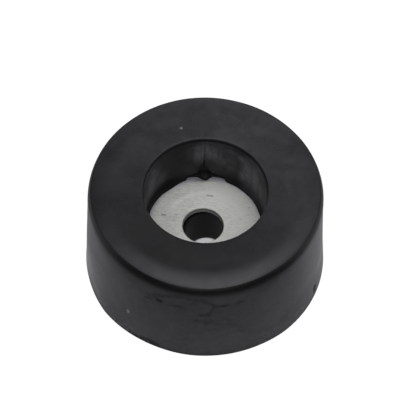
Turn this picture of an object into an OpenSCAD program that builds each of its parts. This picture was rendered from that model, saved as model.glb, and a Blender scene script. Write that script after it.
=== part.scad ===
// Screw-on rubber foot with a moulded-in steel washer.
//
// The foot stands on its wide mounting base at z = 0, with the screw recess
// facing up (+Z). In use the base is screwed up against a case or a piece of
// furniture, and the ring round the recess meets the floor.
// The Z axis is the axis of the foot. All sizes are in millimetres.

/* [Foot] */
// Outer diameter at the mounting base
foot_d = 38; // [34:1:50]
// Overall height, from the mounting base to the tread ring
foot_h = 19; // [15:1:30]
// How far the side wall leans in between base and shoulder, per side
wall_draft = 0.4; // [0:0.1:1.2]
// Rounding of the lower outer edge
base_round = 0.4; // [0.1:0.1:1]

/* [Tread end] */
// Height of the shoulder and crown together, from the end of the straight wall to the tread
shoulder_h = 2; // [1.2:0.1:3]
// How far the shoulder curls in from the wall to the crease, per side
shoulder_in = 0.5; // [0.2:0.1:1.5]
// Drop of the crown between the flat tread ring and the crease
crown_drop = 0.35; // [0.1:0.05:0.8]
// Width of the crown between the flat tread ring and the crease
crown_w = 3.2; // [1:0.1:4.6]
// Width over which the crown bends level into the tread ring
crown_bend = 1.8; // [0.4:0.1:2.4]

/* [Recess] */
// Diameter of the screw recess at its rim
recess_d = 19.7; // [18:0.1:19.8]
// Rounding of the recess rim
rim_round = 0.1; // [0.05:0.05:0.4]
// How far the recess wall stands in from the rim, per side
recess_in = 0.35; // [0.1:0.05:0.6]
// Height of the flare between rim and recess wall
flare_h = 1.6; // [1:0.1:3]
// How far the foot of the recess wall curls in over the washer, per side
curl_in = 0.5; // [0.2:0.05:0.6]
// Height of the curl at the foot of the recess wall
curl_h = 1.6; // [0.8:0.1:3]

/* [Screw passage] */
// Thickness of rubber under the washer
floor_h = 7.9; // [5:0.1:9]
// Diameter of the passage through the rubber under the washer
passage_d = 7; // [7:0.1:9]

/* [Washer] */
// Outer diameter of the washer, with its edge held in the rubber
washer_d = 20; // [20:0.5:24]
// Diameter of the washer's hole
washer_hole_d = 6.5; // [5.5:0.1:6.8]
// Thickness of the washer
washer_t = 1; // [0.8:0.1:2]
// Edge break round the washer's rim and hole
washer_edge = 0.1; // [0.05:0.01:0.2]
// How far the washer sits off the axis of the foot, along X
washer_offset = -0.3; // [-0.4:0.1:0.4]

/* [Split in the recess wall] */
// Whether the recess wall has the split down its back
split_on = true; // [true, false]
// Turn of the split about the axis, in degrees from +Y
split_angle = 2; // [-180:1:180]
// Width of the split at the surface of the recess wall
split_w = 0.12; // [0.1:0.02:0.4]
// Depth of the split into the rubber
split_depth = 0.4; // [0.3:0.1:1.5]
// Width of the torn notch at the lower end of the split
tear_w = 2.4; // [1:0.1:4]
// Height of the upper end of the torn notch above the washer
tear_h = 4.6; // [2:0.1:5]
// Depth of the torn notch into the rubber
tear_depth = 0.8; // [0.3:0.1:1.5]
// Height of the lip of rubber left between the torn notch and the washer
tear_sill = 0.4; // [0.2:0.1:1]

/* [Hidden] */
$fn = 144;
// Steps along each curve of the section
steps = 8;

foot_r    = foot_d / 2;
wall_r    = foot_r - wall_draft;          // wall at the shoulder
wall_z    = foot_h - shoulder_h;          // top of the straight wall
crease_r  = wall_r - shoulder_in;         // crease between shoulder and crown
crease_z  = foot_h - crown_drop;
rim_r     = recess_d / 2;
flat_r    = max(crease_r - crown_w, rim_r + rim_round + 0.5);   // outside of the flat tread ring
washer_r  = washer_d / 2;
seat_z    = floor_h + washer_t;           // top of the washer, foot of the recess
inner_r   = rim_r - recess_in;            // recess wall below the flare
seat_r    = min(inner_r - curl_in, washer_r - abs(washer_offset) - 0.3);   // recess just above the washer
flare_z   = foot_h - min(flare_h, 0.3 * (foot_h - seat_z));     // top of the recess wall
curl_z    = seat_z + min(curl_h, 0.3 * (foot_h - seat_z));      // foot of the recess wall
bend      = min(crown_bend, 0.8 * (crease_r - flat_r));
slope     = crown_drop / (crease_r - flat_r - bend / 2);        // fall of the straight part of the crown
split_z   = foot_h - 1.1;                 // upper end of the split, just under the rim
notch_h   = max(2.9 * tear_sill, min(tear_h, 0.6 * (foot_h - seat_z)));   // upper end of the notch above the washer

// Points of an arc in the section, about [cx, cz]
function arc(cx, cz, r, a0, a1, n) =
    [for (i = [0 : n]) let (a = a0 + (a1 - a0) * i / n) [cx + r * cos(a), cz + r * sin(a)]];

// Points of a quadratic curve from p0 to p2, drawn towards p1, with its first point left out
function curve(p0, p1, p2, n) =
    [for (i = [1 : n]) let (t = i / n)
        (1 - t) * (1 - t) * p0 + 2 * t * (1 - t) * p1 + t * t * p2];

// Half section of the rubber without the washer's groove: base, wall, shoulder,
// sharp crease, crown, flat tread ring, rounded rim, and the recess with its flare and curl
function rubber_section() = concat(
    [[passage_d / 2, 0]],
    arc(foot_r - base_round, base_round, base_round, -90, 0, steps),
    [[wall_r, wall_z]],
    // shoulder, leaving the wall smoothly and turning in towards the crease
    curve([wall_r, wall_z],
          [wall_r - shoulder_in * 0.12, wall_z + (crease_z - wall_z) * 0.6],
          [crease_r, crease_z], steps),
    // crown, rising straight from the crease and then bending level into the tread ring
    [[flat_r + bend, foot_h - slope * bend / 2]],
    curve([flat_r + bend, foot_h - slope * bend / 2],
          [flat_r + bend / 2, foot_h],
          [flat_r, foot_h], steps),
    // recess rim, turned in as far as the flare
    arc(rim_r + rim_round, foot_h - rim_round, rim_round, 90, 165, steps),
    // flare, easing into the recess wall
    curve([rim_r, foot_h - 1.5 * rim_round],
          [inner_r + recess_in * 0.1, (foot_h + flare_z) / 2 - 0.1],
          [inner_r, flare_z], steps),
    // recess wall, and the curl at its foot
    [[inner_r - 0.04, curl_z]],
    curve([inner_r - 0.04, curl_z],
          [inner_r - 0.08, (seat_z + curl_z) / 2 + 0.1],
          [seat_r, seat_z], steps),
    // recess floor, under the washer
    [[seat_r, floor_h], [passage_d / 2, floor_h]]
);

// Half section of a washer with broken edges, from inner radius ri
function washer_section(ri, e) =
    let (ro = washer_r, t = washer_t, w = washer_edge)
    [[ri + e, 0], [ro - w, 0], [ro, w], [ro, t - w],
     [ro - w, t], [ri + e, t], [ri, t - e], [ri, e]];

// Space that the washer fills in the rubber, with no hole
module washer_seat() {
    translate([washer_offset, 0, floor_h]) rotate_extrude()
        polygon([[0, 0], [washer_r - washer_edge, 0], [washer_r, washer_edge],
                 [washer_r, washer_t - washer_edge], [washer_r - washer_edge, washer_t],
                 [0, washer_t]]);
}

// Narrow split down the recess wall, opening into a torn notch just above the washer
module split_cut() {
    rotate([0, 0, split_angle]) {
        // the split
        translate([-split_w / 2, seat_r - 1, seat_z + tear_sill])
            cube([split_w, 1 + curl_in + split_depth, split_z - seat_z - tear_sill]);
        // the torn notch, a triangle with hollow sides that stands on the lip
        translate([0, seat_r - 1, seat_z]) rotate([90, 0, 180])
            linear_extrude(height = 1 + curl_in + tear_depth)
                polygon([[-tear_w / 2, tear_sill], [tear_w / 2, tear_sill],
                         [tear_w * 0.46, notch_h * 0.36], [tear_w * 0.4, notch_h * 0.48],
                         [tear_w * 0.22, notch_h * 0.68], [tear_w * 0.09, notch_h * 0.85],
                         [split_w / 2, notch_h], [-split_w / 2, notch_h],
                         [-tear_w * 0.09, notch_h * 0.85], [-tear_w * 0.22, notch_h * 0.68],
                         [-tear_w * 0.4, notch_h * 0.48], [-tear_w * 0.46, notch_h * 0.36]]);
    }
}

// Moulded rubber foot
module rubber_body() {
    color([0.10, 0.10, 0.11])
    difference() {
        rotate_extrude() polygon(rubber_section());
        washer_seat();
        if (split_on) split_cut();
    }
}

// Pressed steel washer, held by its edge in the rubber
module steel_washer() {
    color([0.66, 0.66, 0.63])
    translate([washer_offset, 0, floor_h])
        rotate_extrude() polygon(washer_section(washer_hole_d / 2, washer_edge));
}

rubber_body();
steel_washer();
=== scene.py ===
import math

import bpy
import numpy as np
from mathutils import Matrix, Vector, noise


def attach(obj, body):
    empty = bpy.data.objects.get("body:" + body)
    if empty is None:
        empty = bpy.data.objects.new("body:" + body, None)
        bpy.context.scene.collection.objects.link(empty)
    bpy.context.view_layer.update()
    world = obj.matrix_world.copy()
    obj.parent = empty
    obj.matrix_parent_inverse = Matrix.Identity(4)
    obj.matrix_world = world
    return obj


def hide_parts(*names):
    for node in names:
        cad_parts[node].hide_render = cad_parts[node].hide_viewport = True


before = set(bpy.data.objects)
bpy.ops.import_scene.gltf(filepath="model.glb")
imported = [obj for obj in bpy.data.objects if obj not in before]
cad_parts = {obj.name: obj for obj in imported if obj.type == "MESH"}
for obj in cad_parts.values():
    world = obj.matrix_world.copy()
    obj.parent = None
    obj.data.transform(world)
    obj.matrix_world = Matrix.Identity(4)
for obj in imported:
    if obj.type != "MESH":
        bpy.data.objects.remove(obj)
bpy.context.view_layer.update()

MM = 0.001

# ---------------------------------------------------------------- camera
# Azimuth 0, 56.4 degrees above the floor, long lens. The frame is aimed by turning the camera, with no shift.
CAM_EL = math.radians(56.405)
CAM_D = 0.700
CAM_F = 4402.8                        # focal length in pixels of a 416-pixel frame
CAM_ROLL = math.radians(1.03)
CAM_DX, CAM_DY = -3.01, 15.52         # where the aimed point sits from the middle of the frame, in pixels
TARGET = Vector((0, 0, 0.0095))


def make_camera():
    cam = bpy.data.cameras.new("camera")
    ob = bpy.data.objects.new("camera", cam)
    bpy.context.scene.collection.objects.link(ob)
    cam.sensor_width = 36.0
    cam.lens = CAM_F / 416 * 36.0
    fwd = Vector((0, math.cos(CAM_EL), -math.sin(CAM_EL)))
    right = Vector((1, 0, 0))
    up = right.cross(fwd)
    c, s = math.cos(CAM_ROLL), math.sin(CAM_ROLL)
    right, up = right * c + up * s, up * c - right * s
    base = Matrix((right, up, -fwd)).transposed()          # camera axes as columns
    # turn the camera so that the target lands off the middle of the frame
    d = Vector((CAM_DX / CAM_F, -CAM_DY / CAM_F, -1)).normalized()
    turn = d.rotation_difference(Vector((0, 0, -1))).to_matrix()
    ob.matrix_world = Matrix.Translation(TARGET - fwd * CAM_D) @ (base @ turn).to_4x4()
    bpy.context.scene.camera = ob


make_camera()
bpy.context.scene.view_settings.view_transform = "Standard"
bpy.context.scene.view_settings.look = "None"


# ---------------------------------------------------------------- node helpers
class Nodes:
    """A small builder for shader node trees."""

    def __init__(self, tree):
        self.t = tree
        tree.nodes.clear()

    def new(self, kind, **props):
        n = self.t.nodes.new(kind)
        for k, v in props.items():
            setattr(n, k, v)
        return n

    def put(self, socket, value):
        if isinstance(value, bpy.types.NodeSocket):
            self.t.links.new(value, socket)
        elif value is not None:
            socket.default_value = value

    def math(self, op, a, b=None, c=None, clamp=False):
        n = self.new("ShaderNodeMath", operation=op, use_clamp=clamp)
        for i, v in enumerate((a, b, c)):
            if v is not None:
                self.put(n.inputs[i], v)
        return n.outputs[0]

    def vmath(self, op, a, b=None, scale=None):
        n = self.new("ShaderNodeVectorMath", operation=op)
        self.put(n.inputs[0], a)
        if b is not None:
            self.put(n.inputs[1], b)
        if scale is not None:
            self.put(n.inputs["Scale"], scale)
        return n.outputs["Value"] if op in ("LENGTH", "DOT_PRODUCT", "DISTANCE") else n.outputs["Vector"]

    def ramp(self, x, lo, hi, a=0.0, b=1.0, smooth=True):
        n = self.new("ShaderNodeMapRange", clamp=True)
        n.interpolation_type = "SMOOTHSTEP" if smooth else "LINEAR"
        self.put(n.inputs["Value"], x)
        n.inputs["From Min"].default_value = lo
        n.inputs["From Max"].default_value = hi
        n.inputs["To Min"].default_value = a
        n.inputs["To Max"].default_value = b
        return n.outputs["Result"]

    def noise(self, vector, scale, detail=2.0, rough=0.5, distortion=0.0, w=None):
        n = self.new("ShaderNodeTexNoise")
        self.put(n.inputs["Vector"], vector)
        n.inputs["Scale"].default_value = scale
        n.inputs["Detail"].default_value = detail
        n.inputs["Roughness"].default_value = rough
        n.inputs["Distortion"].default_value = distortion
        return n.outputs["Fac"]

    def mix(self, fac, a, b):
        n = self.new("ShaderNodeMix", data_type="RGBA")
        self.put(n.inputs["Factor"], fac)
        self.put(n.inputs["A"], a)
        self.put(n.inputs["B"], b)
        return n.outputs["Result"]

    def combine(self, x, y, z):
        n = self.new("ShaderNodeCombineXYZ")
        for i, v in enumerate((x, y, z)):
            self.put(n.inputs[i], v)
        return n.outputs[0]

    def segment(self, p, ax, ay, bx, by, half, soft):
        """1 within half of the line from a to b, falling to 0 over soft. p is a vector with the flat coordinates in x and y."""
        ab = (bx - ax, by - ay, 0.0)
        l2 = ab[0] ** 2 + ab[1] ** 2
        pa = self.vmath("SUBTRACT", p, (ax, ay, 0.0))
        t = self.math("DIVIDE", self.vmath("DOT_PRODUCT", pa, ab), max(l2, 1e-9), clamp=True)
        foot = self.vmath("SCALE", ab, scale=t)
        d = self.vmath("LENGTH", self.vmath("SUBTRACT", pa, foot))
        return self.ramp(d, half, half + soft, 1.0, 0.0)

    def blob(self, p, cx, cy, wx, wy):
        """A soft spot that is 1 at (cx, cy) and falls off over wx and wy."""
        q = self.vmath("MULTIPLY", self.vmath("SUBTRACT", p, (cx, cy, 0.0)), (1.0 / wx, 1.0 / wy, 0.0))
        return self.math("EXPONENT", self.math("MULTIPLY", self.vmath("DOT_PRODUCT", q, q), -1.0))

    def add(self, *terms):
        total = terms[0]
        for t in terms[1:]:
            total = self.math("ADD", total, t)
        return total

    def mul(self, *terms):
        total = terms[0]
        for t in terms[1:]:
            total = self.math("MULTIPLY", total, t)
        return total

    def top(self, *terms):
        total = terms[0]
        for t in terms[1:]:
            total = self.math("MAXIMUM", total, t)
        return total

    def highest(self, terms):
        """The largest of many terms, each taken in as soon as it is made."""
        total = 0.0
        for t in terms:
            total = self.math("MAXIMUM", total, t)
        return total


def material(name):
    m = bpy.data.materials.new(name)
    m.use_nodes = True
    return m, Nodes(m.node_tree)


# ---------------------------------------------------------------- rubber material
# Scuffs on the front of the side wall: points in millimetres round the wall from the front and in height,
# then half width, softness and strength.
SCUFFS = [
    ([(-7.25, 13.75), (-7.1, 13.65)], 0.26, 0.55, 1.15),
    ([(-9.3, 13.1), (-8.5, 13.2)], 0.20, 0.45, 0.55),
    ([(-8.6, 13.8), (-7.7, 14.5)], 0.10, 0.50, 0.45),
    ([(-8.8, 13.9), (-7.7, 14.7), (-5.0, 15.9), (-3.2, 16.3), (-1.1, 16.0), (0.7, 15.4)], 0.10, 0.85, 0.55),
    ([(-5.1, 13.3), (-3.4, 13.35)], 0.05, 0.50, 0.60),
    ([(0.7, 15.4), (1.2, 14.8), (1.8, 14.1)], 0.06, 0.50, 0.75),
    ([(1.8, 14.1), (2.6, 13.95), (3.6, 13.9)], 0.08, 0.50, 0.85),
    ([(1.8, 14.1), (1.37, 13.2), (0.9, 12.0)], 0.04, 0.55, 0.60),
    ([(-0.3, 11.6), (0.7, 11.7)], 0.10, 0.50, 0.75),
    ([(-1.0, 10.0), (0.4, 9.6), (1.5, 9.8)], 0.10, 0.80, 0.60),
    ([(1.2, 10.4), (1.6, 9.9)], 0.10, 0.50, 0.50),
    ([(3.4, 10.3), (4.4, 9.7)], 0.06, 0.60, 0.40),
    ([(2.2, 8.9), (4.4, 8.7), (5.8, 7.3)], 0.06, 0.80, 0.35),
    ([(5.3, 14.2), (6.3, 14.2)], 0.10, 0.60, 0.50),
    ([(5.55, 6.5), (6.5, 5.75)], 0.05, 0.60, 0.35),
    ([(-9.9, 0.9), (-8.4, 1.1), (-7.6, 0.8)], 0.30, 0.60, 1.0),
    ([(-12.4, 0.5), (-9.9, 0.6)], 0.10, 0.50, 0.80),
    ([(22.0, 1.4), (22.2, 2.6)], 0.25, 0.40, 1.0),
]


# Painted reflections and painted highlights on the recess wall, as soft grey spots: degrees from the back, height,
# spread each way and strength.
PAINTED_REFLECTIONS = [
    (3.4, 15.3, 5.2, 2.1, 1.00), (1.0, 16.4, 2.6, 1.6, 1.25), (8.0, 15.4, 5.0, 2.4, 1.05), (14.0, 13.6, 8.0, 1.3, 0.80),
    (-7.2, 15.3, 5.4, 2.3, 1.12), (-3.0, 15.5, 3.0, 2.4, 1.30), (-7.5, 16.9, 5.0, 0.8, 0.95), (-14.0, 15.6, 6.0, 2.2, 0.28),
    (24.0, 15.0, 10.0, 2.2, 0.50), (24.0, 12.4, 8.0, 1.2, 0.50), (24.0, 16.9, 9.0, 0.8, 0.62), (5.0, 17.0, 10.0, 0.8, 0.75), (84.0, 13.2, 6.0, 2.0, 0.45), (-63.0, 14.2, 11.0, 2.8, 1.05), (-50.0, 12.6, 8.0, 1.6, 0.65), (-60.0, 16.6, 5.0, 0.8, 0.95),
    (38.0, 12.2, 5.0, 1.5, 1.10), (37.0, 16.4, 6.0, 1.0, 1.05), (45.0, 13.9, 9.0, 3.3, 1.50), (55.0, 13.9, 9.0, 3.6, 1.72),
    (66.0, 13.1, 8.0, 2.7, 1.15), (76.0, 14.0, 9.0, 3.0, 0.60), (7.4, 10.40, 1.0, 0.24, 1.10), (12.0, 11.6, 14.0, 2.0, 0.26),
    (-15.0, 11.0, 7.0, 1.6, 0.24), (11.5, 10.1, 2.6, 0.16, 0.55), (-12.0, 10.3, 3.0, 0.16, 0.40), (8.0, 17.9, 26.0, 0.75, 0.36), (-62.0, 17.9, 26.0, 0.75, 0.22), (14.0, 15.4, 4.0, 2.0, 0.75),
    (60.0, 17.6, 18.0, 0.9, 0.75), (-70.0, 17.9, 16.0, 0.8, 0.50), (-1.2, 9.34, 3.2, 0.08, 0.14), (12.0, 17.6, 12.0, 0.6, 0.50),
]


def rubber_material(name, ior):
    m, n = material(name)
    out = n.new("ShaderNodeOutputMaterial")
    bsdf = n.new("ShaderNodeBsdfPrincipled")
    n.put(out.inputs["Surface"], bsdf.outputs[0])
    co = n.new("ShaderNodeTexCoord").outputs["Object"]
    p = n.vmath("SCALE", co, scale=1000.0)                 # millimetres
    sep = n.new("ShaderNodeSeparateXYZ"); n.put(sep.inputs[0], p)
    X, Y, Z = sep.outputs
    rad = n.vmath("LENGTH", n.vmath("MULTIPLY", p, (1, 1, 0)))
    turn = n.math("MULTIPLY", n.math("ARCTAN2", X, Y), 57.2958)                     # degrees from the back
    front = n.math("MULTIPLY", n.math("ARCTAN2", X, n.math("MULTIPLY", Y, -1.0)), 18.6)   # mm from the front

    # which face: tread end, recess, side wall
    end = n.mul(n.ramp(Z, 18.50, 18.66), n.ramp(rad, 9.80, 9.90))
    pit = n.mul(n.top(n.ramp(rad, 9.95, 9.84), n.mul(n.ramp(rad, 12.0, 11.0), n.ramp(Z, 18.0, 17.0))), n.ramp(Z, 8.6, 8.8))
    side = n.ramp(rad, 17.9, 18.1)

    cloud = n.noise(p, 0.20, 3.0, 0.55, 0.7)               # broad mottling
    blotch = n.noise(p, 0.75, 4.0, 0.62, 0.4)
    grain = n.noise(p, 9.0, 3.0, 0.62)
    fine = n.noise(p, 26.0, 2.0, 0.6)
    mottle = n.add(n.ramp(cloud, 0.34, 0.66, 0.0, 0.55), n.ramp(blotch, 0.34, 0.68, 0.0, 0.45))   # 0 to 1

    # grey bloom on the black of the tread end, mottled, with painted sheen that makes it heavier towards the back and
    # right
    lean = n.math("MULTIPLY_ADD", X, 0.24, n.math("MULTIPLY", Y, 0.82))
    lean = n.math("ADD", lean, n.mul(n.math("MINIMUM", X, 0.0), 0.16))
    lean = n.math("DIVIDE", lean, n.math("MAXIMUM", rad, 1.0))
    end_bloom_and_sheen = n.mul(n.ramp(lean, -0.90, 0.9, -0.0032, 0.0325, smooth=False), n.ramp(mottle, 0.1, 0.9, 0.78, 1.22))
    end_bloom_and_sheen = n.add(end_bloom_and_sheen, n.ramp(n.noise(p, 0.42, 3.0, 0.6, 0.8), 0.45, 0.75, 0.0, 0.005))
    # mottled grey on the side wall, fading out towards the shoulder
    side_grey = n.mul(n.ramp(mottle, 0.1, 0.9, 0.011, 0.031), n.ramp(Z, 16.0, 17.8, 1.0, 0.0))
    # the recess: matt, with painted reflections and highlights down its wall (degrees from the back, height, spread),
    # mottled grey painted darker towards the foot as shade, lighter grey on its front half, and painted shade under the
    # rim
    tz = n.combine(turn, Z, 0.0)
    painted_reflections = n.highest(n.mul(n.blob(tz, ta, tzz, wa, wz), k) for ta, tzz, wa, wz, k in PAINTED_REFLECTIONS)
    painted_reflections = n.mul(painted_reflections, n.ramp(mottle, 0.1, 0.9, 0.80, 1.16), n.ramp(n.noise(n.vmath("MULTIPLY", p, (1.6, 1.6, 0.7)), 1.5, 3.0, 0.7), 0.3, 0.7, 0.86, 1.14))
    pit_grey_and_painted_light = n.math("MULTIPLY_ADD", painted_reflections, 0.110, n.mul(n.ramp(mottle, 0.1, 0.9, 0.0015, 0.0065), n.ramp(Z, 10.0, 11.0)))
    pit_grey_and_painted_light = n.add(pit_grey_and_painted_light, n.mul(n.ramp(n.math("ABSOLUTE", turn), 94.0, 112.0), n.ramp(mottle, 0.1, 0.9, 0.012, 0.045)))
    pit_grey_and_painted_light = n.mul(pit_grey_and_painted_light, n.ramp(Z, 18.14, 18.34, 1.0, 0.1))
    bloom_base = n.mul(n.ramp(Z, 0.2, 0.05), n.ramp(rad, 3.6, 4.0), n.ramp(mottle, 0.1, 0.9, 0.006, 0.030))
    # the grey of every face together, carrying the painted sheen, reflections and shade above
    bloom_and_painted_light = n.add(n.mul(end_bloom_and_sheen, end), n.mul(side_grey, side), n.mul(pit_grey_and_painted_light, pit), bloom_base)

    # scuffs on the side wall
    q = n.combine(front, Z, 0.0)
    wob = n.combine(n.math("MULTIPLY_ADD", n.noise(p, 0.9, 2.0, 0.5), 0.6, -0.3), n.math("MULTIPLY_ADD", n.noise(p, 1.1, 2.0, 0.5), 0.6, -0.3), 0.0)
    qw = n.vmath("ADD", q, wob)
    marks = n.highest(n.mul(n.segment(qw, ax, ay, bx, by, half, soft), k)
                      for pts, half, soft, k in SCUFFS for (ax, ay), (bx, by) in zip(pts, pts[1:]))
    scuff = n.mul(marks, side, n.ramp(n.noise(p, 1.9, 3.0, 0.7), 0.36, 0.60, 0.45, 1.05))
    bloom_and_painted_light = n.mul(bloom_and_painted_light, n.math("SUBTRACT", 1.0, scuff))
    # light speckles along the lower edge, stronger on the left
    low_speckle = n.mul(n.ramp(n.noise(p, 2.8, 3.0, 0.65), 0.54, 0.70), n.ramp(Z, 4.0, 1.6), n.ramp(n.math("ABSOLUTE", front), 7.0, 10.0), n.ramp(n.math("ABSOLUTE", front), 23.0, 19.0), side)
    bloom_and_painted_light = n.add(bloom_and_painted_light, n.mul(low_speckle, n.ramp(X, -6.0, 6.0, 0.17, 0.09)))

    notch_matt_and_painted_fill = n.mul(pit, n.ramp(rad, 9.60, 9.72), n.ramp(Z, 15.2, 14.6))                       # the torn rubber is matt, and painted lighter as fill light in its shade, dimmer towards the foot
    # painted shade low on the recess wall at the left, just above the washer, which is also rougher
    painted_foot_shade = n.mul(pit, n.ramp(turn, -26.0, -44.0), n.ramp(Z, 11.4, 10.3), n.ramp(Z, 9.2, 9.9))
    # the whole recess is painted darker, as shade
    grey = n.add(n.mul(bloom_and_painted_light, n.ramp(notch_matt_and_painted_fill, 0.0, 1.0, 1.0, 0.0)), n.mul(pit, -0.0022), n.mul(notch_matt_and_painted_fill, n.ramp(Z, 10.3, 9.6, 0.024, 0.010)), n.mul(painted_foot_shade, -0.0030), 0.0042)
    # the screw passage is painted lighter towards +X and bluer, as light in the hole
    bore = n.ramp(rad, 3.95, 3.75)
    grey = n.add(grey, n.mul(bore, n.ramp(X, -2.0, 2.5, 0.0010, 0.0100)))
    col = n.combine(grey, grey, n.mul(grey, n.math("MULTIPLY_ADD", bore, 0.80, 1.0), n.math("MULTIPLY_ADD", pit, 0.02, 1.07)))
    # two specks of dust
    dust = n.top(n.ramp(n.vmath("LENGTH", n.vmath("SUBTRACT", p, (-4.04, 11.8, 19.0))), 0.08, 0.32, 0.6, 0.0),
                 n.ramp(n.vmath("LENGTH", n.vmath("MULTIPLY", n.vmath("SUBTRACT", p, (-11.91, -14.62, 6.06)), (1.0, 1.0, 0.6))), 0.06, 0.42, 1.0, 0.0))
    col = n.mix(n.mul(dust, 0.9), col, (0.42, 0.42, 0.41, 1))
    n.put(bsdf.inputs["Base Color"], col)

    brim = n.mul(n.ramp(Z, 18.10, 18.26), n.ramp(Z, 18.92, 18.80), n.ramp(rad, 9.92, 9.86), n.ramp(rad, 9.0, 9.6))      # just under the rim
    rough = n.add(n.ramp(cloud, 0.3, 0.7, -0.03, 0.04), n.ramp(grain, 0.3, 0.7, 0.28, 0.33), n.mul(dust, 0.4), n.mul(pit, 0.28), n.mul(notch_matt_and_painted_fill, 0.40), n.mul(scuff, 0.38), n.mul(painted_foot_shade, 0.30), n.mul(brim, 0.30))
    n.put(bsdf.inputs["Roughness"], rough)
    bsdf.inputs["IOR"].default_value = ior

    h = n.add(n.mul(grain, 0.0020), n.mul(fine, 0.0006), n.mul(blotch, 0.010))
    bump = n.new("ShaderNodeBump")
    bump.inputs["Strength"].default_value = 0.5
    bump.inputs["Distance"].default_value = MM
    n.put(bump.inputs["Height"], h)
    n.put(bsdf.inputs["Normal"], bump.outputs[0])
    return m


# ---------------------------------------------------------------- washer material
# Small dark marks on the washer: two ends in millimetres, half width, softness and strength.
MARKS = [
    (0.30, 5.83, 1.15, 5.70, 0.08, 0.14, 0.75), (-6.85, 1.93, -6.40, 1.88, 0.10, 0.16, 0.75),
    (-4.75, 2.03, -4.55, 2.00, 0.06, 0.16, 0.40), (-5.10, 1.00, -4.85, 0.95, 0.06, 0.16, 0.40),
    (6.90, 3.55, 7.02, 3.50, 0.06, 0.14, 0.40), (5.65, 1.22, 5.80, 1.18, 0.05, 0.12, 0.30),
]


def steel_material():
    m, n = material("washer_steel")
    out = n.new("ShaderNodeOutputMaterial")
    bsdf = n.new("ShaderNodeBsdfPrincipled")
    n.put(out.inputs["Surface"], bsdf.outputs[0])
    co = n.new("ShaderNodeTexCoord").outputs["Object"]
    p = n.vmath("SCALE", co, scale=1000.0)
    sep = n.new("ShaderNodeSeparateXYZ"); n.put(sep.inputs[0], p)
    X, Y, Z = sep.outputs
    flat = n.vmath("MULTIPLY", p, (1, 1, 0))
    rad = n.vmath("LENGTH", flat)
    grain = n.noise(n.vmath("MULTIPLY", p, (0.45, 2.4, 2.4)), 2.4, 4.0, 0.7)       # drawn out along X
    fine = n.noise(n.vmath("MULTIPLY", p, (1.2, 3.0, 3.0)), 3.2, 2.0, 0.7)
    cloud = n.noise(p, 0.40, 3.0, 0.55)
    tone = n.add(n.ramp(grain, 0.25, 0.75, -0.16, 0.16), n.ramp(fine, 0.3, 0.7, -0.10, 0.10), n.ramp(cloud, 0.3, 0.7, -0.06, 0.06))
    # the ring that the core of the mould pressed into the face, with a painted highlight along its back
    ring = n.math("ABSOLUTE", n.math("ADD", rad, -6.22))
    ring = n.mul(n.ramp(ring, 0.10, 0.60, 1.0, 0.0), n.ramp(Y, 2.0, 5.6), n.ramp(Z, 8.7, 8.85))
    tone = n.add(tone, n.mul(ring, 0.20))
    dark = n.highest(n.mul(n.segment(flat, ax, ay, bx, by, half, soft), k) for ax, ay, bx, by, half, soft, k in MARKS)
    tone = n.add(tone, n.mul(dark, -0.62))
    # painted shade on the wall of the hole
    hole_wall_shade = n.mul(n.ramp(n.vmath("LENGTH", n.vmath("SUBTRACT", flat, (-0.3, 0, 0))), 3.26, 3.40, 1.0, 0.0), n.ramp(Z, 8.9, 8.75))
    edge_shade = n.mul(n.ramp(rad, 8.25, 9.4), n.ramp(Z, 8.7, 8.85))             # painted shade where the rubber meets and overhangs it, darker and bluer
    # a painted dark line of shade just under the rounded upper edge of the hole
    hole_lip_shade = n.mul(n.ramp(n.vmath("LENGTH", n.vmath("SUBTRACT", flat, (-0.3, 0, 0))), 3.30, 3.44, 1.0, 0.0), n.ramp(Z, 8.48, 8.66))
    # painted light: lighter towards the back, the right and the front, and painted shade beyond 9 mm under the rubber
    value = n.mul(n.math("ADD", tone, 1.0), 0.83, n.ramp(Y, 2.0, 7.5, 1.0, 1.10), n.ramp(X, -7.0, 6.0, 0.93, 1.17), n.ramp(Y, -1.0, -4.5, 1.0, 1.20), n.math("MULTIPLY_ADD", hole_wall_shade, -0.16, 1.0), n.math("MULTIPLY_ADD", hole_lip_shade, -0.50, 1.0), n.math("MULTIPLY_ADD", edge_shade, -0.50, 1.0), n.ramp(rad, 9.0, 9.5, 1.0, 0.76))
    value = n.mul(value, n.math("MULTIPLY_ADD", n.blob(flat, -0.55, 8.70, 1.45, 0.32), -0.70, 1.0))      # painted shadow under the tongue of flash
    value = n.math("MINIMUM", value, 0.99)
    col = n.combine(value, value, n.mul(value, n.math("MULTIPLY_ADD", edge_shade, 0.16, 0.92)))
    n.put(bsdf.inputs["Base Color"], col)
    bsdf.inputs["Metallic"].default_value = 0.05
    n.put(bsdf.inputs["Roughness"], n.ramp(grain, 0.3, 0.7, 0.46, 0.58))
    bump = n.new("ShaderNodeBump")
    bump.inputs["Strength"].default_value = 0.5
    bump.inputs["Distance"].default_value = MM
    n.put(bump.inputs["Height"], n.add(n.mul(grain, 0.020), n.mul(fine, 0.008), n.mul(dark, -0.02)))
    n.put(bsdf.inputs["Normal"], bump.outputs[0])
    return m


# ---------------------------------------------------------------- mesh helpers
def line(p, q, n, end=False, ease=0.0):
    """n points from p towards q, leaving q out unless end is set. ease above 0 crowds them towards q, below 0 towards p."""
    t = np.linspace(0, 1, n + 1)[: n + 1 if end else n]
    if ease > 0:
        t = 1 - (1 - t) ** (1 + ease)
    elif ease < 0:
        t = t ** (1 - ease)
    return [(p[0] + (q[0] - p[0]) * k, p[1] + (q[1] - p[1]) * k) for k in t]


def bezier(p, c, q, n):
    t = np.linspace(0, 1, n + 1)[:n]
    return [((1 - k) ** 2 * p[0] + 2 * k * (1 - k) * c[0] + k * k * q[0],
             (1 - k) ** 2 * p[1] + 2 * k * (1 - k) * c[1] + k * k * q[1]) for k in t]


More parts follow.
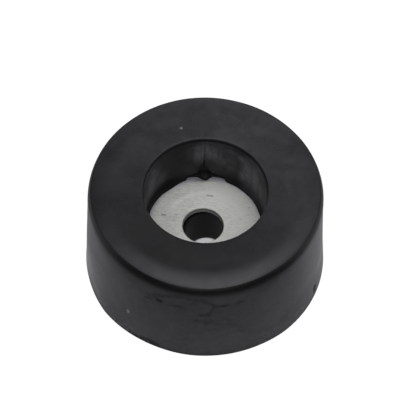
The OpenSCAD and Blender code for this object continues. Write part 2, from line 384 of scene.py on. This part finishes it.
def arc(cx, cz, r, a0, a1, n):
    a = np.radians(np.linspace(a0, a1, n + 1)[:n])
    return [(cx + r * math.cos(k), cz + r * math.sin(k)) for k in a]


def smooth(x, lo, hi):
    t = np.clip((np.asarray(x, float) - lo) / (hi - lo), 0, 1)
    return t * t * (3 - 2 * t)


def torus_mesh(name, xyz):
    """A closed mesh from a grid of points: rows run round the section, columns round the axis, and both close on themselves."""
    rows, cols = xyz.shape[:2]
    idx = np.arange(rows * cols).reshape(rows, cols)
    a, b = idx, np.roll(idx, -1, 0)
    c, d = np.roll(b, -1, 1), np.roll(a, -1, 1)
    quads = np.stack([a, b, c, d], -1).reshape(-1, 4)
    me = bpy.data.meshes.new(name)
    me.from_pydata((xyz.reshape(-1, 3) * MM).tolist(), [], quads.tolist())
    me.validate()
    me.update()
    me.polygons.foreach_set("use_smooth", [True] * len(me.polygons))
    ob = bpy.data.objects.new(name, me)
    bpy.context.scene.collection.objects.link(ob)
    return ob


def field(points, scale, seed):
    """Smooth noise between about -1 and 1 at each point."""
    off = Vector((seed * 17.3, seed * 5.1, seed * 9.7))
    flat = points.reshape(-1, 3)
    v = [noise.noise(Vector(q) * scale + off) for q in flat]
    return np.array(v).reshape(points.shape[:-1])


# ---------------------------------------------------------------- rubber body
R_BASE = 19.0
R_CREASE, Z_CREASE, R_CONE, R_FLAT, H = 18.1, 18.60, 16.7, 14.9, 19.0
BEND = 0.026                                               # how fast the crown steepens towards the crease
R_RIM, RIM = 9.86, 0.12
R_SEAT, Z_SEAT, Z_FLOOR = 8.98, 8.9, 7.9
R_BORE = 3.5
W_OFF = -0.3                                               # the washer sits this far off the axis
SPLIT = -1.9                                               # azimuth of the split, in degrees from +Y towards +X


# Round the back of the recess, by degrees from +Y towards +X:
# radius at which the rubber ends on the washer,
EDGE_AZ = [-180, -90, -76, -69, -59, -50, -44, -37, -31, -24, -20.3, -18.5, -17, -15, -11, -8.5, -6.6, -5.6, -2.9,
           -0.5, 2.3, 3.8, 6.3, 7.5, 12, 16, 18.5, 20, 21.5, 28, 34, 41, 48, 57, 65, 72, 79, 90, 180]
EDGE_R = [8.98, 9.0, 9.05, 9.07, 9.0, 8.97, 8.87, 8.81, 8.93, 9.08, 9.15, 9.42, 9.54, 9.57, 9.46, 9.33, 9.12, 9.02, 8.78,
          8.64, 8.79, 9.09, 9.39, 9.48, 9.50, 9.51, 9.45, 9.12, 8.99, 8.95, 8.94, 8.89, 8.92, 8.96, 8.95, 8.91, 8.99, 8.98, 8.98]
# height of the torn edge above it,
TEAR_AZ = [-22, -20, -17.3, -13.3, -10.8, -8.9, -7.4, -7.0, -6.6, -6.0, -5.0, -3.9, -3.0, -2.4, -1.9, -1.5, -1.1, -0.6, 0.1,
           1.3, 2.5, 3.5, 4.9, 6.0, 9.1, 13, 18.6, 20.5, 22]
TEAR_Z = [8.9, 9.7, 9.81, 9.78, 9.85, 9.95, 10.4, 10.7, 11.1, 11.55, 11.8, 12.1, 12.6, 13.2, 13.6, 13.0, 12.3, 11.9, 11.6,
          11.3, 10.95, 10.6, 10.1, 9.78, 9.62, 9.5, 9.45, 9.4, 8.9]
# and how far back the tear goes
BACK_AZ = [-22, -19, -13, -9, -6.5, -3, 3, 6.5, 9, 13, 19, 22]
BACK_R = [9.1, 9.58, 9.62, 9.8, 10.0, 10.05, 10.05, 10.0, 9.8, 9.62, 9.56, 9.1]
# The outline isn't quite round: how far the lower edge and the crease stand out or in, by degrees.
LOW_AZ = [-180, -174, -168, -161, -154, -147, -140, -132, -125, -117, -110, -102, -94, 100, 137, 145, 152, 159, 165, 172, 180]
LOW_OUT = [-0.04, -0.04, -0.06, -0.11, -0.10, -0.07, 0.0, 0.10, 0.17, 0.10, 0.03, 0.0, 0.0, 0.10, 0.13, 0.06, 0.0, -0.02, -0.03, -0.04, -0.04]
TOP_AZ = [-180, -172, -163, -155, -147, -140, -125, -110, -90, -75, 20, 45, 65, 85, 100, 112, 130, 145, 160, 168, 175, 180]
TOP_OUT = [0.10, 0.06, 0.04, 0.02, -0.03, -0.07, -0.08, 0.0, 0.06, 0.04, 0.03, 0.07, 0.13, 0.14, 0.06, 0.0, 0.0, -0.06, 0.04, 0.09, 0.12, 0.10]


# How far the crown droops at the crease, by degrees
DROOP_AZ = [100, 115, 130, 145, 158, 168, 176, 184, 193, 206, 222, 240]
DROOP = [0.0, 0.050, 0.095, 0.095, 0.060, 0.010, -0.012, 0.028, 0.060, 0.062, 0.040, 0.0]


def rubber_profile():
    """Section of the rubber as a closed loop round its bore: points (radius, height) and the name of the face each starts."""
    # side wall and shoulder: the wall leans in evenly, then turns in faster and faster up to the crease
    z = np.concatenate([np.linspace(0.25, 3.0, 13), np.linspace(3.7, 13.0, 14), np.linspace(13.6, 16.6, 7), np.linspace(16.85, Z_CREASE - 0.06, 16)])
    turn = np.clip((z - 15.5) / (Z_CREASE - 0.05 - 15.5), 0, 1)
    lean = np.radians(1.35 + 30 * turn ** 3)
    run = np.concatenate([[0], np.cumsum(np.tan((lean[1:] + lean[:-1]) / 2) * np.diff(z))])
    r = R_CREASE + 0.045 + run[-1] - run
    r = r + (R_BASE - r[0]) * (1 - np.clip(z / 15.0, 0, 1))
    wall = list(zip(r.tolist(), z.tolist()))
    # crown: level out to R_FLAT, bending down to R_CONE, then straight down to the crease
    slope = (H - Z_CREASE - BEND * (R_CREASE - R_CONE) ** 2) / ((R_CONE - R_FLAT) / 2 + R_CREASE - R_CONE)
    rc = np.concatenate([np.linspace(R_CREASE - 0.05, R_CONE, 8)[:-1], np.linspace(R_CONE, R_FLAT, 13)[:-1]])
    drop = np.where(rc > R_CONE, slope * ((R_CONE - R_FLAT) / 2 + rc - R_CONE) + BEND * (rc - R_CONE) ** 2, slope * (rc - R_FLAT) ** 2 / 2 / (R_CONE - R_FLAT))
    crown = list(zip(rc.tolist(), (H - drop).tolist()))
    p, q = wall[-1], crown[0]
    parts = [
        ("bore", line((R_BORE, Z_FLOOR - 0.15), (R_BORE, 0.15), 9)),
        ("bore", arc(R_BORE + 0.15, 0.15, 0.15, 180, 270, 4)),
        ("base", line((R_BORE + 0.15, 0), (R_BASE - 0.25, 0), 12)),
        ("wall", arc(R_BASE - 0.25, 0.25, 0.25, -90, 0, 6)),
        ("wall", wall[:27]),
        ("shoulder", wall[27:]),
        ("crease", bezier(p, (R_CREASE + 0.005, Z_CREASE - 0.001), q, 5)[1:]),
        ("crown", crown),
        ("flat", line((R_FLAT, H), (R_RIM + RIM, H), 14)),
        ("rim", arc(R_RIM + RIM, H - RIM, RIM, 90, 165, 6)),
        ("recess", recess_wall()),
        ("foot", line((R_SEAT, Z_SEAT + 0.05), (R_SEAT + 0.04, Z_SEAT + 0.01), 2)),
        ("under", line((R_SEAT + 0.04, Z_SEAT + 0.01), (10.01, Z_SEAT + 0.01), 3)),
        ("pocket", line((10.01, Z_SEAT + 0.01), (10.01, Z_FLOOR - 0.01), 3)),
        ("below", line((10.01, Z_FLOOR - 0.01), (R_BORE + 0.1, Z_FLOOR - 0.01), 6)),
        ("bore", line((R_BORE + 0.1, Z_FLOOR - 0.01), (R_BORE, Z_FLOOR - 0.15), 2)),
    ]
    pts, tags = [], []
    for tag, ps in parts:
        pts += ps
        tags += [tag] * len(ps)
    return np.array(pts), np.array(tags)


def recess_wall():
    """Recess wall from under the rim down to the washer: flared at the top, nearly straight, then curling in at its foot."""
    zk = np.array([8.95, 9.1, 9.3, 9.6, 10.0, 10.3, 10.7, 11.2, 12.0, 14.0, 16.0, 17.0, 17.4, 17.7, 18.0, 18.4, 18.75])
    rk = np.array([8.98, 9.05, 9.15, 9.28, 9.42, 9.46, 9.48, 9.49, 9.495, 9.505, 9.52, 9.535, 9.555, 9.61, 9.70, 9.80, 9.858])
    z = np.concatenate([np.linspace(18.74, 17.2, 12), np.linspace(17.0, 14.0, 8), np.linspace(13.8, 10.9, 18), np.linspace(10.78, 8.95, 19)])[:-1]
    r = smooth_interp(z, zk, rk)
    return list(zip(r.tolist(), z.tolist()))


def smooth_interp(x, xk, yk):
    """Monotone cubic through the given points."""
    h = np.diff(xk)
    d = np.diff(yk) / h
    m = np.zeros(len(xk))
    m[0], m[-1] = d[0], d[-1]
    for i in range(1, len(xk) - 1):
        if d[i - 1] * d[i] > 0:
            w1, w2 = 2 * h[i] + h[i - 1], h[i] + 2 * h[i - 1]
            m[i] = (w1 + w2) / (w1 / d[i - 1] + w2 / d[i])
    i = np.clip(np.searchsorted(xk, x) - 1, 0, len(h) - 1)
    t = (x - xk[i]) / h[i]
    return ((2 * t ** 3 - 3 * t ** 2 + 1) * yk[i] + (t ** 3 - 2 * t ** 2 + t) * h[i] * m[i]
            + (-2 * t ** 3 + 3 * t ** 2) * yk[i + 1] + (t ** 3 - t ** 2) * h[i] * m[i + 1])


def azimuths():
    """Column angles in degrees from +Y towards +X: crowded round the split, and less so across the back of the recess."""
    def step(a):
        d = abs(((a - SPLIT + 180) % 360) - 180)
        return 0.14 if d < 3.2 else 0.25 if d < 8 else 0.42 if d < 24 else 1.25
    a, out = -180.0, []
    while a < 180.0 - 0.3:
        out.append(a)
        a += step(a)
    return np.array(out)


def make_rubber():
    prof, tags = rubber_profile()
    az = azimuths()
    r = prof[:, 0][:, None] + 0 * az[None, :]
    z = prof[:, 1][:, None] + 0 * az[None, :]
    a = np.radians(az)[None, :] + 0 * r
    row = lambda *names: np.isin(tags, names)[:, None]
    xyz0 = np.stack([r * np.sin(a), r * np.cos(a), z], -1)

    # outward normal of the section, for moves across the surface
    d = np.roll(prof, -1, 0) - np.roll(prof, 1, 0)
    nrm = np.stack([d[:, 1], -d[:, 0]], -1)
    nrm /= np.linalg.norm(nrm, axis=1)[:, None]

    # slight unevenness of the moulding on every outer face
    outer = row("wall", "shoulder", "crease", "crown", "flat", "rim", "recess").astype(float)
    wave = 0.018 * (field(xyz0, 0.11, 1) - 1) + 0.014 * (field(xyz0, 0.33, 2) - 1)
    wave = np.minimum(wave, 0) * outer * smooth(z, 0.3, 1.5)
    push = wave.copy()

    # nicks low on the side wall
    for na, nz, wa, wz, deep in ((-150.0, 0.9, 2.2, 0.5, 0.12), (-154.5, 0.8, 1.6, 0.4, 0.10), (112.0, 1.9, 0.8, 0.8, 0.24)):
        da = ((az - na + 180) % 360 - 180)[None, :] / wa
        push -= deep * np.exp(-(da ** 2) - ((z - nz) / wz) ** 2) * row("wall")

    r = r + push * nrm[:, 0][:, None]
    z = z + push * nrm[:, 1][:, None]

    # the crown droops a little into the crease at both sides of the front
    droop = np.interp(az % 360, DROOP_AZ, DROOP)[None, :]
    z = z - droop * np.where(row("crown", "crease"), np.clip((r - 17.25) / 0.85, 0, 1) ** 2, np.where(row("shoulder"), smooth(z, 17.4, 18.5), 0.0))

    # the outline's own unevenness
    low = np.interp(az, LOW_AZ, LOW_OUT)[None, :] * (1 - smooth(z, 0.8, 6.0))
    high = np.interp(az, TOP_AZ, TOP_OUT)[None, :] * smooth(z, 14.5, 18.3) * smooth(r, 15.5, 17.6)
    r = r + (low + high) * row("wall", "shoulder", "crease", "crown")

    # the recess wall behind: split, torn notch, and the tongue of flash that lies over the washer
    arcx = np.radians(az - SPLIT)[None, :] * 9.45          # millimetres along the wall from the split
    on_wall = row("recess", "foot")
    split = np.exp(-(arcx / 0.060) ** 2) * np.interp(z, [10.9, 11.6, 12.4, 13.2, 14.2, 15.4, 16.6, 17.2], [0.0, 0.08, 0.16, 0.19, 0.18, 0.14, 0.06, 0.0]) * on_wall
    rough = field(xyz0 * np.array([1, 1, 0.0]), 1.7, 3)[0]                    # one value a column
    edge = np.interp(az, EDGE_AZ, EDGE_R) + 0.03 * rough * (np.abs(az) < 26)
    lift = np.interp(az, TEAR_AZ, TEAR_Z) + 0.10 * rough * (np.abs(az) < 24) * (np.abs(az - SPLIT) > 1.5)
    back = np.interp(az, BACK_AZ, BACK_R)
    # foot of the wall follows the edge, over the lowest 1.5 mm
    r = r + np.where(on_wall, (edge - R_SEAT)[None, :] * (1 - smooth(z, 9.0, 10.6)) ** 2, 0)
    # above the flash and below the torn edge the wall is gone
    torn = smooth(lift[None, :] - z, -0.02, 0.14) * smooth(z, 9.22, 9.34) * on_wall
    deep = np.maximum(back[None, :] - r, 0) * torn
    r = r + deep + split
    # a rounded sill of rubber stays across the foot of the notch, with a small lobe at its right
    sill = np.interp(z, [9.20, 9.26, 9.36, 9.46, 9.56, 9.66, 9.80], [9.02, 9.08, 9.30, 9.62, 9.88, 10.0, 10.05])
    across = np.exp(-(((az[None, :] + 1.5) / 4.4) ** 4)) * (z > 9.2) * (z < 9.75)
    lobe = 0.8 * np.exp(-(((az[None, :] - 5.6) / 1.2) ** 2) - ((z - 9.52) / 0.16) ** 2)
    r = r + (np.minimum(sill, r) - r) * across * on_wall
    r = r + (9.15 - r) * lobe * on_wall
    # the flash, from its edge back under the torn wall
    r = np.where(on_wall & (z < 9.30) & (np.abs(az)[None, :] < 22), edge[None, :], r)
    # curled lips of the tear beside the notch
    lip = 0.07 * np.exp(-(((az[None, :] - 7.2) / 1.2) ** 2) - ((z - 10.45) / 0.26) ** 2)
    lip = lip + 0.04 * np.exp(-(((az[None, :] + 8.4) / 1.8) ** 2) - ((z - 10.45) / 0.26) ** 2)
    r = r - lip * on_wall
    # the face that lies on the washer follows the edge
    under = row("under")
    first = edge[None, :] + 0.04
    k = (prof[:, 0][:, None] - (R_SEAT + 0.04)) / (10.01 - R_SEAT - 0.04)
    r = np.where(under, first + (10.01 - first) * k, r)

    # a shallow seam where the rubber knitted together, over the rim and across the tread behind the recess
    seam = 0.012 * np.exp(-(arcx * r / 9.3 / 0.09) ** 2) * row("flat", "crown", "crease", "rim") * (1 - smooth(r, 16.5, 17.5))
    z = z - seam

    x = r * np.sin(a)
    y = r * np.cos(a)
    # the washer's seat is off the axis, and the screw passage leans a little
    seat = np.where(row("pocket"), 1.0, 0.0)
    seat = np.where(row("under"), k, seat)
    kb = (prof[:, 0][:, None] - R_BORE) / (10.01 - R_BORE)
    seat = np.where(row("below"), np.clip(kb, 0, 1), seat)
    x = x + W_OFF * seat
    lean = np.where(row("bore", "base"), 0.38 * (1 - np.clip(z / Z_FLOOR, 0, 1)), 0.0)
    lean = lean * np.where(row("base"), 1 - smooth(r, 4, 9), 1.0)
    x = x + lean
    ob = torus_mesh("rubber_foot_body", np.stack([x, y, z], -1))
    ob.data.materials.append(rubber_material("moulded_rubber", 1.50))
    ob.data.materials.append(rubber_material("rubber_recess", 1.38))           # the core of the mould leaves the recess duller
    ob.data.polygons.foreach_set("material_index", np.repeat(np.isin(tags, ("recess", "foot")), len(az)).astype(np.int32))
    return ob


# ---------------------------------------------------------------- washer
def make_washer():
    ri, ro, t = 3.25, 10.0, Z_SEAT - Z_FLOOR
    e = 0.12
    parts = []
    parts += arc(ri + e, Z_FLOOR + t - e, e, 180, 90, 6)                       # upper edge of the hole
    parts += line((ri + e, Z_SEAT), (5.6, Z_SEAT), 14)
    parts += line((5.6, Z_SEAT), (6.9, Z_SEAT), 26)
    parts += line((6.9, Z_SEAT), (ro - 0.1, Z_SEAT), 18)
    parts += line((ro - 0.1, Z_SEAT), (ro, Z_SEAT - 0.1), 2)
    parts += line((ro, Z_SEAT - 0.1), (ro, Z_FLOOR + 0.1), 2)
    parts += line((ro, Z_FLOOR + 0.1), (ro - 0.1, Z_FLOOR), 2)
    parts += line((ro - 0.1, Z_FLOOR), (ri + 0.06, Z_FLOOR), 8)
    parts += arc(ri + 0.06, Z_FLOOR + 0.06, 0.06, 270, 180, 3)
    parts += line((ri, Z_FLOOR + 0.06), (ri, Z_SEAT - e), 5)
    prof = np.array(parts)[::-1]
    az = np.linspace(-180, 180, 288, endpoint=False)
    a = np.radians(az)[None, :]
    r = prof[:, 0][:, None] + 0 * a
    z = prof[:, 1][:, None] + 0 * a
    x, y = r * np.sin(a) + W_OFF, r * np.cos(a)
    # the mould's core pressed a faint ring into the face, round the axis of the foot
    rr = np.hypot(x, y)
    top = (prof[:, 1] > Z_SEAT - 0.001)[:, None]
    part = 0.55 + 0.45 * np.cos(np.radians(az - 5))[None, :]
    z = z - np.where(top, 0.012 * part * np.exp(-((rr - 6.2) / 0.13) ** 2), 0)
    ob = torus_mesh("washer_disc", np.stack([x, y, z], -1))
    ob.data.materials.append(steel_material())
    return ob


rubber = make_rubber()
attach(rubber, "root")
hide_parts("rubber_body")

washer = make_washer()
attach(washer, "root")
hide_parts("steel_washer")


# ---------------------------------------------------------------- floor
def floor_material(name, hole):
    """Bright to look at, dimmer as the foot mirrors it, and clear from below."""
    m, n = material(name)
    out = n.new("ShaderNodeOutputMaterial")
    p = n.vmath("SCALE", n.new("ShaderNodeTexCoord").outputs["Object"], scale=1000.0)
    rad = n.vmath("LENGTH", n.vmath("MULTIPLY", p, (1, 1, 0)))
    seen = n.new("ShaderNodeAddShader")
    diff = n.new("ShaderNodeBsdfDiffuse")
    glow = n.new("ShaderNodeEmission")
    paper = n.new("ShaderNodeEmission")
    if hole:
        # light falls through the hole on to a patch of the paper
        n.put(diff.inputs["Color"], n.mix(n.noise(p, 1.0), (0.05, 0.05, 0.052, 1), (0.06, 0.06, 0.062, 1)))
        patch = n.ramp(n.vmath("LENGTH", n.vmath("SUBTRACT", p, (0.25, 1.25, 0.0))), 2.1, 2.6, 1.0, 0.0)
        n.put(glow.inputs["Strength"], n.math("MULTIPLY_ADD", patch, 0.43, 0.02))
        glow.inputs["Color"].default_value = (0.99, 0.99, 1.03, 1)
        paper.inputs["Strength"].default_value = 0.12
    else:
        n.put(diff.inputs["Color"], n.mix(n.noise(p, 0.03), (0.20, 0.20, 0.20, 1), (0.22, 0.22, 0.22, 1)))
        glow.inputs["Strength"].default_value = 0.93
        # as the foot mirrors it: dim where the foot shades it in front, brighter towards the lamps at both sides
        sep = n.new("ShaderNodeSeparateXYZ"); n.put(sep.inputs[0], p)
        way = n.math("DIVIDE", sep.outputs[1], n.math("MAXIMUM", rad, 1.0))
        sides = n.ramp(way, -0.62, -0.02)
        left = n.mul(sides, n.ramp(sep.outputs[0], -15.0, -18.0))
        contact = n.top(n.ramp(rad, 19.0, 19.45, 0.08, 1.0), n.mul(sides, n.ramp(sep.outputs[0], -17.1, -18.0)))
        near = n.mul(n.math("ADD", n.ramp(rad, 25.0, 36.0, 0.30, 0.0), 0.08), contact, n.math("MULTIPLY_ADD", left, -0.22, 1.0))
        near = n.mul(near, n.math("MULTIPLY_ADD", sides, 0.28, 1.0), n.ramp(way, 0.25, 0.8, 1.0, 1.7), n.ramp(sep.outputs[0], -12.0, -14.5, 1.0, 0.90), n.ramp(sep.outputs[0], -15.5, -17.5, 1.0, 1.12))
        far = n.mul(sides, n.ramp(rad, 28.0, 44.0, 0.0, 0.26))
        n.put(paper.inputs["Strength"], n.add(near, far, n.mul(left, contact, n.ramp(rad, 21.4, 19.6), 0.22)))
        paper.inputs["Color"].default_value = (0.99, 0.99, 1.03, 1)
    n.put(seen.inputs[0], diff.outputs[0])
    n.put(seen.inputs[1], glow.outputs[0])
    both = n.new("ShaderNodeMixShader")
    n.put(both.inputs[0], n.new("ShaderNodeLightPath").outputs["Is Camera Ray"])
    n.put(both.inputs[1], paper.outputs[0])
    n.put(both.inputs[2], seen.outputs[0])
    clear = n.new("ShaderNodeBsdfTransparent")
    mix = n.new("ShaderNodeMixShader")
    n.put(mix.inputs[0], n.math("MAXIMUM", n.new("ShaderNodeNewGeometry").outputs["Backfacing"], n.ramp(rad, 120.0, 190.0)))
    n.put(mix.inputs[1], both.outputs[0])
    n.put(mix.inputs[2], clear.outputs[0])
    n.put(out.inputs["Surface"], mix.outputs[0])
    return m


def make_floor():
    """A pale floor. It is open under the foot, where the base covers it, so that the base is lit when it is looked at from below."""
    zf = -0.05
    k = 96
    for name, rings in (("floor", (18.4, 26, 40, 80, 200)), ("floor_under_hole", (0, 4.6))):
        verts, faces = [], []
        for rd in rings:
            verts += [(rd * MM * math.cos(2 * math.pi * i / k), rd * MM * math.sin(2 * math.pi * i / k), zf * MM)
                      for i in range(k)] if rd else []
        if rings[0] == 0:
            faces.append(tuple(range(k)))
        else:
            for j in range(len(rings) - 1):
                for i in range(k):
                    i2 = (i + 1) % k
                    faces.append((j * k + i, (j + 1) * k + i, (j + 1) * k + i2, j * k + i2))
        me = bpy.data.meshes.new(name)
        me.from_pydata(verts, [], faces)
        me.update()
        ob = bpy.data.objects.new(name, me)
        ob.data.materials.append(floor_material(name, rings[0] == 0))
        bpy.context.scene.collection.objects.link(ob)


make_floor()


# ---------------------------------------------------------------- light
# Soft light all round, as a sum of broad glows: azimuth, elevation, tightness and strength.
GLOWS = [
    (351, 80, 40.0, 1.80), (98, 76, 20.7, 0.99), (286, 74, 20.0, 0.95), (184, 23, 24.6, 0.82), (38, 69, 42.3, 0.65),
    (88, 52, 8.2, 0.60), (102, 3, 14.8, 0.61), (6, 21, 18.0, 0.50), (263, 1, 10.7, 0.48), (181, 50, 8.2, 0.75),
    (329, 27, 16.0, 0.31), (159, -4, 15.7, 0.32), (185, -3, 17.8, 0.24), (71, -5, 23.1, 0.18), (0, 8, 9.0, 0.35),
    (200, -72, 5.0, 0.80),
]


def make_world():
    w = bpy.data.worlds.new("studio")
    w.use_nodes = True
    bpy.context.scene.world = w
    n = Nodes(w.node_tree)
    out = n.new("ShaderNodeOutputWorld")
    way = n.new("ShaderNodeTexCoord").outputs["Generated"]
    total = 0.0
    for az, el, tight, strength in GLOWS:
        a, e = math.radians(az), math.radians(el)
        to = (math.sin(a) * math.cos(e), math.cos(a) * math.cos(e), math.sin(e))
        dot = n.vmath("DOT_PRODUCT", way, to)
        lobe = n.math("EXPONENT", n.math("MULTIPLY_ADD", dot, tight, -tight))
        total = n.math("MULTIPLY_ADD", lobe, strength, total)
    light = n.new("ShaderNodeBackground")
    n.put(light.inputs["Strength"], total)
    white = n.new("ShaderNodeBackground")                  # plain white behind the foot
    white.inputs["Strength"].default_value = 1.0
    light.inputs["Color"].default_value = (0.99, 0.99, 1.035, 1)
    white.inputs["Color"].default_value = (1, 1, 1, 1)
    mix = n.new("ShaderNodeMixShader")
    n.put(mix.inputs[0], n.new("ShaderNodeLightPath").outputs["Is Camera Ray"])
    n.put(mix.inputs[1], light.outputs[0])
    n.put(mix.inputs[2], white.outputs[0])
    n.put(out.inputs["Surface"], mix.outputs[0])


# LIGHTS BEGIN
make_world()
